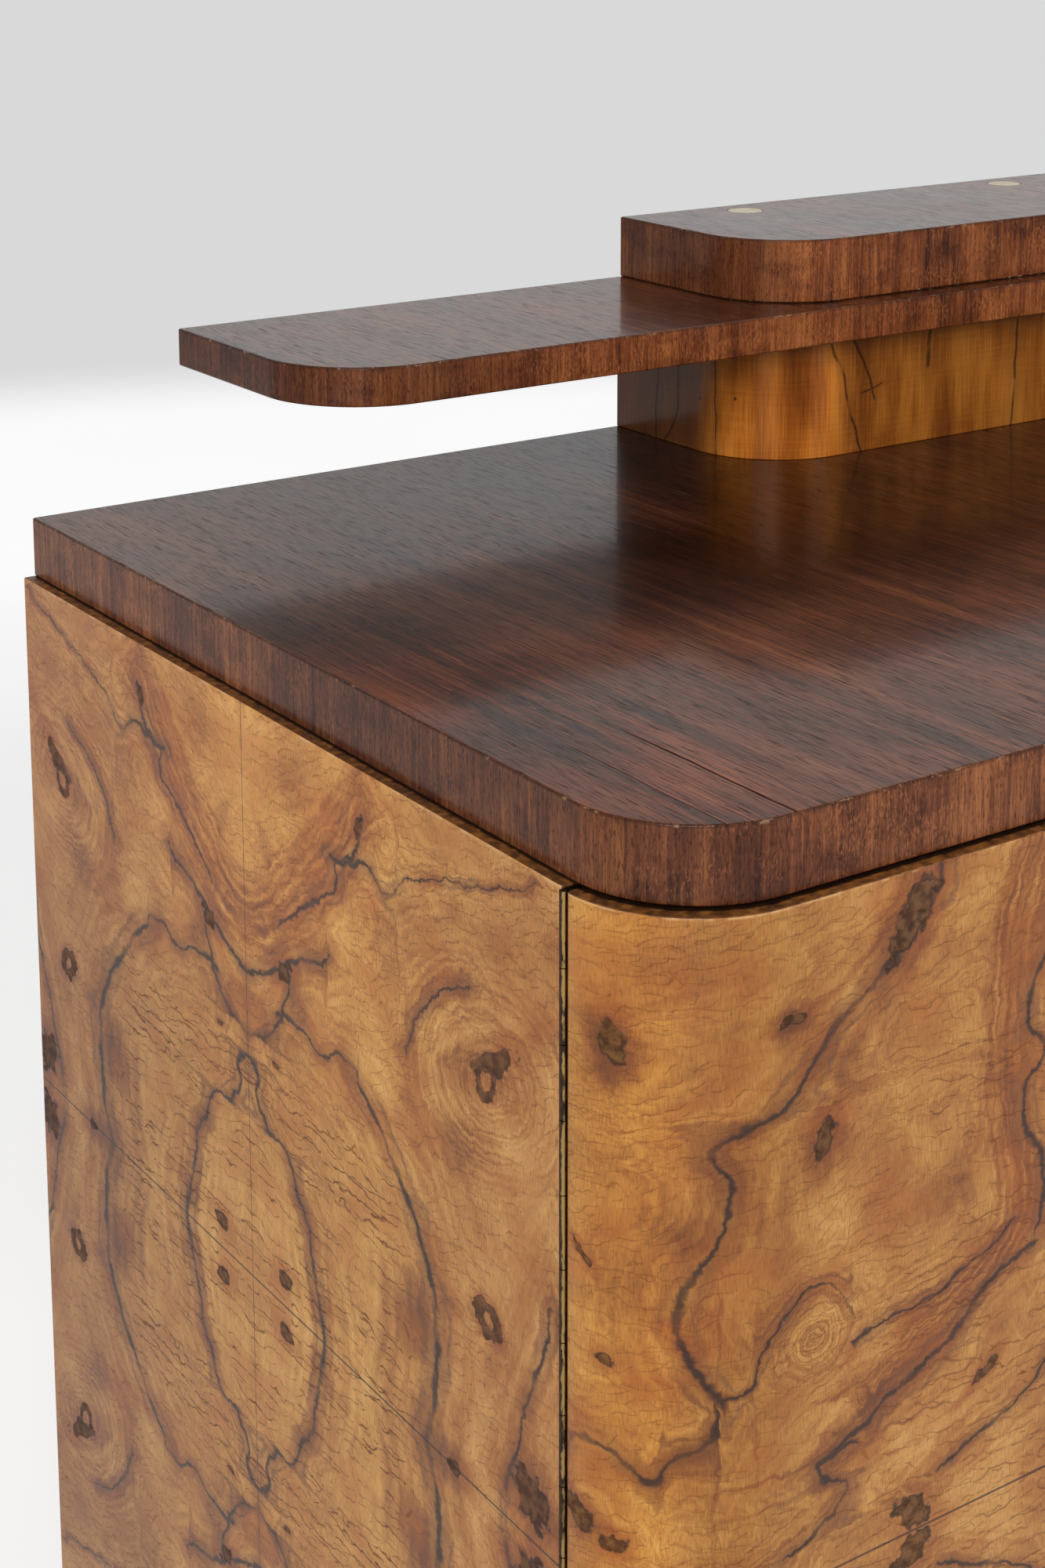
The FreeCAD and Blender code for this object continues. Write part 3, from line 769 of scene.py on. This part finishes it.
lay_finish(
    dark_face, colour, roughness, relief - split * 4, 0.000012, polish, 0.05,
    polish_roughness=TOP_POLISH_ROUGHNESS,
)


def slab_corner(place):
    """Above 0 at the rounded front corners and behind them, where the edge is made darker."""
    forward = soft_step(place.y, -0.03, 0.10, 0.45, 0.0)
    return forward * soft_step(abs(place.x), 0.92, 0.955)


slab_edge = dark_edging("slab_edge_veneer", tops=[slab_high.z], ends=slab_corner)


def stepped_board(node, edge_finish, slot, ease=0.0011):
    """A board flush with the back of the piece, its two front corners rounded."""
    low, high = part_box(node)
    plan = rounded_plan(
        (low.x, low.y, TOP_CORNER), (high.x, low.y, TOP_CORNER),
        (high.x, high.y, SOFT_ARRIS), (low.x, high.y, SOFT_ARRIS),
    )
    board = eased_board(node + "_veneered", plan, low.z, high.z, ease)
    choose = lambda centre, normal: "face" if abs(normal.z) > 0.8 else "edge"
    finish_faces(board, {"face": dark_face, "edge": edge_finish}, choose)
    set_in_place(board, "carcass", slot, node)
    return board


stepped_board("slab_top", slab_edge, "dark_veneer")

# Riser: a block that carries the display shelf off the slab, wrapped in a lighter walnut veneer,
# its leaves set on end with dark streaks. It is bolted through from the upper block.
RISER_POLISH = 0.22
RISER_SHADES = ((92, 46, 11), (126, 68, 19), (156, 92, 32), (186, 120, 52))
riser_low, riser_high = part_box("riser_block")
riser_veneer, place = new_finish("riser_walnut_veneer")
x = abs(place.x) * 1000
y = place.y * 1000
corner_x = (riser_high.x - TOP_CORNER) * 1000
corner_y = (riser_low.y + TOP_CORNER) * 1000
past_x = greater(x - corner_x, 0.0)
past_y = greater(corner_y - y, 0.0)
bend = past_x.math("ARCTAN2", past_y, past_x) * (TOP_CORNER * 1000)
run = lesser(riser_high.y * 1000 - y, riser_high.y * 1000 - corner_y) + bend + greater(corner_x - x, 0.0)
down = (riser_high.z - place.z) * 1000
leaf = run.node("CombineXYZ", None, {0: run * 0.001, 1: down * 0.001})
sway = (mottle(leaf, (0.02, 0.02, 1.0), 2.0, 7.0) - 0.5) * 5
run = run + sway
level, upright, ovals = pens(run, down)
veins = nearest(
    upright(0.8, (26, 40), (50, 39.4), (70, 38.6)),
    upright(0.9, (14, 60.5), (47, 58.7), (60, 54), (69, 46.5)),
    upright(0.5, (0, 91.2), (35, 91.4), (70, 91.8)),
    upright(1.0, (0, 160), (12, 164), (22, 169), (35, 172), (50, 177), (70, 185)),
    upright(1.0, (0, 175), (8, 179), (17, 185), (26, 189), (40, 194)),
    level(0.6, (183, 36), (191, 34.5), (199, 32)),
    upright(1.6, (0, 235.5), (12, 235), (26, 234.5)),
    upright(1.0, (0, 305), (32, 304), (70, 303)),
    upright(1.0, (0, 452), (30, 447), (70, 436)),
    upright(0.7, (0, 560), (40, 562), (70, 570)),
)
pins = ovals(((80, 39), (1.2, 1.2)), ((105, 36), (1.2, 1.2)))
bands = mottle(leaf, (0.022, 0.14, 1.0), 2.0, 3.0)
fibre = mottle(leaf, (0.0009, 0.03, 1.0), 3.0, 5.0)
ripple = mottle(leaf, (0.04, 0.0016, 1.0), 2.0, 9.0)
cloud = mottle(leaf, (0.04, 0.08, 1.0), 3.0, 1.0)
tone = 0.52 + (bands - 0.5) * 1.0 + (fibre - 0.5) * 0.45 + (ripple - 0.5) * 0.14 + (cloud - 0.5) * 0.55
colour = ramp(tone, (0.22, 0.42, 0.58, 0.82), RISER_SHADES)
# Painted highlight: the rounded front corner is brightened, amber wood and a highlight on it together.
amber_and_highlight = soft_step(run, 82, 104) * soft_fall(run, 158, 176)
colour = deepened(amber_and_highlight, colour, 1.55, 1.48, 1.3)
colour = deepened(soft_step(run, 158, 200), colour, 0.92, 0.9, 0.75)
# Painted shade: the side face under the display shelf is darkened as the shelf's shadow.
painted_shelf_shadow = soft_fall(run + (cloud - 0.5) * 40, 62, 100)
colour = tint(painted_shelf_shadow * 0.55, colour, (78, 44, 20))
shade = soft_fall(veins, 0.0, 9.0) * soft_step(cloud, 0.36, 0.6)
colour = tint(shade * 0.35, colour, (86, 46, 18))
broken = soft_step(mottle(leaf, (0.01, 0.012, 1.0), 2.0, 13.0), 0.32, 0.5, 0.35, 1.0)
colour = tint(soft_step(veins, 0.2, 1.4, 0.8, 0.0) * broken, colour, (40, 22, 13))
colour = tint(soft_step(pins, 0.6, 1.1, 0.8, 0.0), colour, (34, 20, 12))
polish = RISER_POLISH - soft_step(veins, 0.2, 1.4, 0.12, 0.0)
lay_finish(riser_veneer, colour, 0.3 + (cloud - 0.5) * 0.1, fibre, 0.00001, polish, 0.06)
stepped_board("riser_block", riser_veneer, "riser_veneer", 0.0006)

# Display shelf: a long thin board lying on the riser and running out past both ends of it,
# veneered and banded like the slab.
SHELF_SHADES = ((68, 32, 17), (116, 60, 30), (147, 82, 43), (182, 114, 66))
shelf_tops = [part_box(name)[1].z for name in ("display_shelf", "upper_block")]


def shelf_shade_and_ends(place):
    """1 on the side faces behind the front, as painted shade, and at the ends of the shelf and of the upper
    block, where the veneer is darker.
    """
    behind = soft_step(place.y, 0.148, 0.175)
    return greater(behind, soft_step(abs(place.x), 0.70, 0.86))


shelf_edge = dark_edging(
    "shelf_edge_veneer", SHELF_SHADES, 0.6, shelf_tops, [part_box("upper_block")[0].z], shelf_shade_and_ends
)
stepped_board("display_shelf", shelf_edge, "dark_veneer")

# Upper block: a second block on the shelf over the riser, bored for the bolts. Each bore is
# closed by a turned cream disc let in flush.
upper = stepped_board("upper_block", shelf_edge, "dark_veneer")
DISC_COUNT = 6
DISC_RADIUS = 0.0105
DISC_DEPTH = 0.004
WELL_RADIUS = 0.0108


def turned(name, profile, places, axis, count=40):
    """A piece turned on a lathe through (radius, distance) points, copied to each place."""
    across = axis.orthogonal().normalized()
    points = []
    faces = []
    for place in places:
        first = len(points)
        for radius, distance in profile:
            for index in range(count):
                spoke = Quaternion(axis, 2 * math.pi * index / count) @ across
                points.append(place + spoke * radius + axis * distance)
        faces += wall_faces(first, len(profile), count)
        faces.append(tuple(reversed(range(first, first + count))))
        faces.append(tuple(range(len(points) - count, len(points))))
    return new_piece(name, points, faces)


UP = Vector((0, 0, 1))
disc_low, disc_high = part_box("cover_discs")
first_disc = Vector((disc_low.x + DISC_RADIUS, (disc_low.y + disc_high.y) / 2, disc_low.z))
disc_step = Vector(((disc_high.x - disc_low.x - 2 * DISC_RADIUS) / (DISC_COUNT - 1), 0, 0))
disc_places = [first_disc + disc_step * index for index in range(DISC_COUNT)]
wells = turned("disc_wells", [(WELL_RADIUS, 0.0), (WELL_RADIUS, 0.01)], disc_places, UP)
bore = upper.modifiers.new("disc wells", "BOOLEAN")
bore.object = wells
bore.solver = "EXACT"
upper.modifiers.move(1, 0)
shaped = bpy.data.meshes.new_from_object(upper.evaluated_get(bpy.context.evaluated_depsgraph_get()))
upper.modifiers.remove(bore)
upper.data = shaped
bpy.data.objects.remove(wells)

cream, place = new_finish("cream_disc_finish")
clouding = mottle(place, 0.004, 3.0)
grime = soft_step(mottle(place, 0.0012, 2.0, 5.0), 0.58, 0.72)
colour = ramp(clouding, (0.3, 0.7), ((204, 186, 148), (232, 218, 186)))
lay_finish(cream, tint(grime * 0.35, colour, (140, 112, 78)), 0.34 + grime * 0.2, clouding, 0.00005)
disc_profile = [
    (DISC_RADIUS - 0.0003, 0.0), (DISC_RADIUS, 0.0003), (DISC_RADIUS, DISC_DEPTH),
    (DISC_RADIUS - 0.0004, DISC_DEPTH + 0.0004), (DISC_RADIUS * 0.5, DISC_DEPTH + 0.00055),
]
discs = turned("cover_discs_turned", disc_profile, disc_places, UP)
discs.data.materials.append(cream)
set_in_place(discs, "carcass", "cream_disc", "cover_discs")

# Steel inside: the long bolts under the discs, which hold the stepped top together, and the rollers
# of the catches. Both are turned from plain bright steel.
steel, place = new_finish("bright_steel")
turning = mottle(place, (0.0008, 0.0008, 0.0002), 2.0)
colour = ramp(turning, (0.3, 0.7), ((120, 118, 114), (168, 166, 162)))
lay_finish(steel, colour, 0.3 + (turning - 0.5) * 0.3, turning, 0.00003, metallic=1.0)
clothe(steel, "shelf_bolts", "catch_rollers")

# Back nails: steel pins with small flat heads, driven through each back panel along its two upright
# edges into the sides and the partitions.
NAIL_PITCH = 0.09
NAIL_INSET = 0.008
nail_profile = [(0.0022, 0.0), (0.0022, 0.0003), (0.0016, 0.0005)]
nail_places = []
for name in BACK_PANELS:
    low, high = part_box(name)
    count = int((high.z - low.z - 2 * NAIL_INSET) / NAIL_PITCH) + 1
    lowest = (low.z + high.z - NAIL_PITCH * (count - 1)) / 2
    for x in (low.x + NAIL_INSET, high.x - NAIL_INSET):
        nail_places += [Vector((x, high.y, lowest + NAIL_PITCH * row)) for row in range(count)]
nails = turned("back_nails", nail_profile, nail_places, Vector((0, 1, 0)), 12)
nails.data.materials.append(steel)
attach(nails, "carcass")

# Piano hinges: two brass leaves with interleaved knuckles on a brass pin, screwed along the edge of
# each door. The brass is tarnished brown and its gaps hold old polish.


def tarnished_brass(name, axis, highlight_facing):
    """Brass gone dark, a few flecks rubbed bright, and a painted highlight down the side of a barrel that
    faces the given way; the barrel's axis stands at that x and y.
    """
    made, place = new_finish(name)
    tarnish = mottle(place, (0.004, 0.004, 0.012), 4.0)
    rubbed = mottle(place, (0.0008, 0.0008, 0.003), 2.0, 5.0)
    right = abs(place.x) - axis[0]
    back = place.y - axis[1]
    reach = (right * highlight_facing[0] + back * highlight_facing[1]) / (right * right + back * back) ** 0.5
    share = soft_step(reach + (rubbed - 0.5) * 0.5 + (tarnish - 0.5) * 0.5, 0.84, 0.96)
    share = share * soft_step(tarnish, 0.30, 0.46) + 0.1 * soft_step(rubbed, 0.5, 0.66)
    colour = tint(share, (52, 40, 32), (146, 118, 72))
    return lay_finish(made, colour, 0.5 - share * 0.15, rubbed, 0.00004, metallic=1.0)


# Which way the painted highlight faces on the outer and the inner hinges' barrels.
HIGHLIGHT_TURN = math.radians(62)
HIGHLIGHT_FACING = {"outer": (math.cos(HIGHLIGHT_TURN), -math.sin(HIGHLIGHT_TURN)), "inner": (0.0, -1.0)}
hinge_axes = {joint["name"]: joint["pos_m"] for joint in frame["joints"]}
for door, highlight_facing in HIGHLIGHT_FACING.items():
    brass = tarnished_brass(door + "_hinge_brass", hinge_axes[f"right_{door}_hinge"], highlight_facing)
    for side in ("left", "right"):
        clothe(brass, f"{side}_{door}_hinge_fixed_leaf", f"{side}_{door}_hinge_door_leaf")
clothe(brass, "hinge_pins", "catch_bodies")

# Hinge screws: countersunk brass screws hold each leaf, one to every second knuckle, their heads just
# proud of the brass.
SCREW_PITCH = 0.060
SCREW_REACH = 0.008
LEAF_FACE = 0.00085
screw_profile = [(0.0021, 0.0), (0.0019, 0.0002), (0.0008, 0.0003)]
for hinge, (axis_x, axis_y, _) in hinge_axes.items():
    side = 1 if hinge.startswith("left") else -1
    along = Vector((side, 0, 0)) if "outer" in hinge else Vector((0, 1, 0))
    facing = Vector((0, -1, 0)) if "outer" in hinge else Vector((side, 0, 0))
    low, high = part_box(hinge + "_fixed_leaf")
    count = int((high.z - low.z) / SCREW_PITCH) + 1
    middle = Vector((axis_x, axis_y, low.z + SCREW_PITCH / 4)) + along * SCREW_REACH
    for leaf_name, outward in (("fixed_leaf", facing), ("door_leaf", -facing)):
        places = [middle - outward * LEAF_FACE + Vector((0, 0, SCREW_PITCH * row)) for row in range(count)]
        screws = turned(f"{hinge}_{leaf_name}_screws", screw_profile, places, outward, 16)
        screws.data.materials.append(brass)
        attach(screws, "carcass" if leaf_name == "fixed_leaf" else hinge.replace("hinge", "door"))

# Doors: the outer pair is bent round the front corners, the inner pair is flat. They are veneered
# outside with leaves of the same burr, matched about a level joint, and sealed plain inside.
CORNER_X = 0.932
CORNER_Y = -0.201
CORNER_RADIUS = 0.058
DOOR_BACK = 0.022
DOOR_ARRIS = 0.0009
OUTER_DOOR_JOINT = 264.0
ARRIS_TURN = (HINGE_ARRIS + 0.0016) / CORNER_RADIUS


def corner_arc(side, radius, first, last):
    """Points round a front corner, from one angle to the other, measured from the side panel."""
    turns = [first + (last - first) * step / 24 for step in range(25)]
    return [(side * (CORNER_X + radius * math.cos(t)), CORNER_Y - radius * math.sin(t), 0) for t in turns]


doors = {}
for side_name, side in (("left", -1), ("right", 1)):
    low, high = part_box(side_name + "_outer_door")
    free_x, outer_x = inner_outer(low, high, side)
    back_y = low.y + DOOR_BACK
    inner_x = outer_x - side * DOOR_BACK
    plan = rounded_plan(
        (outer_x - side * HINGE_ARRIS, high.y, 0),
        (outer_x - side * HINGE_ARRIS * 0.3, high.y - HINGE_ARRIS * 0.3, 0),
        *corner_arc(side, CORNER_RADIUS, ARRIS_TURN, math.pi / 2),
        (free_x, low.y, DOOR_ARRIS), (free_x, back_y, DOOR_ARRIS),
        *corner_arc(side, CORNER_RADIUS - DOOR_BACK, math.pi / 2, ARRIS_TURN),
        (inner_x, high.y, DOOR_ARRIS),
    )
    doors[side_name + "_outer_door"] = (plan, low.z, high.z)
    low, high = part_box(side_name + "_inner_door")
    free_x, hinge_x = inner_outer(low, high, side)
    plan = rounded_plan(
        (hinge_x, low.y, HINGE_ARRIS), (free_x, low.y, DOOR_ARRIS),
        (free_x, high.y, DOOR_ARRIS), (hinge_x, high.y, SHARP_ARRIS),
    )
    doors[side_name + "_inner_door"] = (plan, low.z, high.z)


def on_outer_door(place):
    x = abs(place.x)
    round_x = greater(x - CORNER_X, 0.0)
    round_y = CORNER_Y - place.y
    run = round_x.math("ARCTAN2", round_y, round_x) * CORNER_RADIUS + greater(CORNER_X - x, 0.0) * 1.05
    return on_leaf(place, OUTER_DOOR_JOINT - abs(run * 1000 - OUTER_DOOR_JOINT), (5, 4))


def on_inner_door(place):
    low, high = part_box("left_inner_door")
    run = (-low.x - abs(place.x)) * 1000
    joint = (high.x - low.x) * 500
    return on_leaf(place, joint - abs(run - joint), (5, 4))


# Painted shade: the doors take darker colours of the same burr than the side panels, against the stronger
# light on the front.
DOOR_SHADES_WITH_PAINTED_SHADE = ((68, 35, 15), (108, 61, 27), (146, 92, 41), (172, 118, 57), (196, 147, 82), (152, 81, 28))
DOOR_POLISH = 0.46
door_burrs = {}
for kind, locate in (("outer", on_outer_door), ("inner", on_inner_door)):
    burr, place, colour, roughness, relief, polish = burr_veneer(
        kind + "_door_burr_veneer", locate, door_figure, DOOR_SHADES_WITH_PAINTED_SHADE, DOOR_POLISH
    )
    if kind == "outer":
        run = locate(place)[0]
        # Painted light brightens the bend by the hinge edge to gold; painted shade darkens the bend beyond
        # it.
        colour = deepened(soft_fall(run, 40, 62), colour, 1.12, 1.06, 0.72)
        colour = deepened(soft_step(run, 40, 60) * soft_fall(run, 90, 130), colour, 0.87, 0.82, 0.68)
    colour = veneer_joint(colour, abs(place.z - LEVEL_JOINT_Z), 0.0008)
    colour = rubbed_and_highlit_arris(colour, place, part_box("left_outer_door")[1].z)
    lay_finish(burr, colour, roughness, relief, 0.00012, polish, 0.06)
    door_burrs[kind] = burr


def door_face(centre, normal):
    """Which finish a face of a door takes."""
    if abs(normal.z) > 0.5:
        return "edge"
    round_x = abs(centre.x) - CORNER_X
    if round_x > 0:
        if normal.y > 0.7:
            return "edge"
        reach = math.hypot(round_x, centre.y - CORNER_Y)
        return "veneer" if reach > CORNER_RADIUS - DOOR_BACK / 2 else "inside"
    return "veneer" if normal.y < -0.4 else "inside" if normal.y > 0.6 else "edge"


for name, (plan, bottom, top) in doors.items():
    door = eased_board(name + "_veneered", plan, bottom, top, 0.0006)
    kind = "outer" if "outer" in name else "inner"
    finish_faces(door, {"veneer": door_burrs[kind], "inside": plain_upright, "edge": lipping}, door_face)
    set_in_place(door, name, "burr_veneer", name)
    clothe(brass, name.replace("_door", "_catch_tongue"))

# Knobs: one near the free edge of each door, turned in the dark wood with a waisted neck. A spigot
# is glued into the door.
KNOB_PROFILE = [
    (0.0086, 0.0), (0.0090, 0.0004), (0.0090, 0.0030), (0.0084, 0.0042), (0.0070, 0.0058),
    (0.0065, 0.0078), (0.0070, 0.0100), (0.0094, 0.0132), (0.0124, 0.0160), (0.0138, 0.0186),
    (0.0140, 0.0206), (0.0136, 0.0224), (0.0122, 0.0243), (0.0098, 0.0254), (0.0060, 0.0259),
    (0.0020, 0.0260),
]
OUT = Vector((0, -1, 0))
for name in doors:
    knob_node = name.replace("_door", "_knob")
    low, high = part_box(knob_node)
    base = Vector(((low.x + high.x) / 2, low.y + KNOB_PROFILE[-1][1], (low.z + high.z) / 2))
    knob = turned(knob_node + "_turned", KNOB_PROFILE, [base], OUT, 48)
    knob.data.materials.append(dark_edge)
    set_in_place(knob, name, "dark_veneer", knob_node)

# Stage: a pale round floor that fades into a plain pale surround, soft studio light from the front
# left, and the camera of the photograph.
FLOOR_RADIUS = 6.4
FLOOR_CENTRE = Vector((-1.4, -2.2, 0.0))
floor_points = [
    FLOOR_CENTRE + Vector((math.cos(math.radians(a)), math.sin(math.radians(a)), 0)) * FLOOR_RADIUS
    for a in range(0, 360, 5)
]
floor = new_piece("floor", floor_points, [tuple(range(len(floor_points)))])


def seen_rays(tree):
    """1 for the rays that show a surface, straight to the camera or in a reflection."""
    path = tree.nodes.new("ShaderNodeLightPath")
    straight = Wire(tree, path.outputs["Is Camera Ray"])
    mirrored = Wire(tree, path.outputs["Is Glossy Ray"]) + Wire(tree, path.outputs["Is Transmission Ray"])
    return lesser(straight + mirrored, 1.0)


floor_finish, place = new_finish("pale_floor")
tree = floor_finish.node_tree
paper = mottle(place, 0.4, 2.0)
colour = ramp(paper, (0.3, 0.7), ((236, 236, 236), (240, 240, 240)))
lay_finish(floor_finish, colour, 0.7 + (paper - 0.5) * 0.1, shine=0.1)
reach = place.node("VectorMath", {"operation": "LENGTH"}, {0: place}, 1)
off_centre = place.node("VectorMath", {"operation": "DISTANCE"}, {0: place, 1: FLOOR_CENTRE}, 1)
shader = tree.nodes["Principled BSDF"]
shader.inputs["Emission Strength"].default_value = 1.0
lift = soft_step(reach, 1.5, 2.7, 0.36, 0.52) * seen_rays(tree)
tree.links.new(tint(lift, (0, 0, 0), (255, 255, 255)).socket, shader.inputs["Emission Color"])
clear = Wire(tree, tree.nodes.new("ShaderNodeBsdfTransparent").outputs[0])
faded = soft_step(off_centre, FLOOR_RADIUS * 0.91, FLOOR_RADIUS)
surface = place.node("MixShader", None, {0: faded, 1: Wire(tree, shader.outputs[0]), 2: clear})
tree.links.new(surface.socket, tree.nodes["Material Output"].inputs["Surface"])
floor.data.materials.append(floor_finish)

world = bpy.data.worlds.new("studio")
world.use_nodes = True
bpy.context.scene.world = world
tree = world.node_tree
surround = tint(seen_rays(tree), (174, 174, 174), (217, 217, 217))
tree.links.new(surround.socket, tree.nodes["Background"].inputs["Color"])


def softbox(name, place, aim, size, power):
    lamp = bpy.data.lights.new(name, "AREA")
    lamp.shape = "RECTANGLE"
    lamp.size, lamp.size_y = size
    lamp.energy = power
    box = bpy.data.objects.new(name, lamp)
    box.location = place
    box.rotation_euler = (Vector(aim) - Vector(place)).to_track_quat("-Z", "Y").to_euler()
    bpy.context.scene.collection.objects.link(box)


softbox("key_softbox", (-3.2, -2.6, 2.6), (-0.6, 0.0, 0.5), (2.2, 2.2), 110)
softbox("front_softbox", (0.8, -3.6, 1.8), (-0.3, 0.0, 0.5), (1.6, 1.6), 26)

FRAME_HEIGHT_PX = 2000
FOCAL_PX = 3295.7
SENSOR = 36.0
CAMERA_SHIFT = -0.30
camera_data = bpy.data.cameras.new("photo_camera")
camera_data.sensor_width = SENSOR
camera_data.lens = FOCAL_PX * SENSOR / FRAME_HEIGHT_PX
camera_data.shift_y = CAMERA_SHIFT
camera = bpy.data.objects.new("photo_camera", camera_data)
bpy.context.scene.collection.objects.link(camera)
CAMERA_PLACE = (-1.4982, -0.9268, 1.0491)
YAW, PITCH, ROLL = (math.radians(angle) for angle in (34.078, 10.427, 0.127))
sight = Vector((math.sin(YAW) * math.cos(PITCH), math.cos(YAW) * math.cos(PITCH), -math.sin(PITCH)))
camera.location = CAMERA_PLACE
camera.rotation_mode = "QUATERNION"
camera.rotation_quaternion = Quaternion(sight, ROLL) @ sight.to_track_quat("-Z", "Y")
bpy.context.scene.camera = camera
bpy.context.scene.view_settings.view_transform = "Standard"
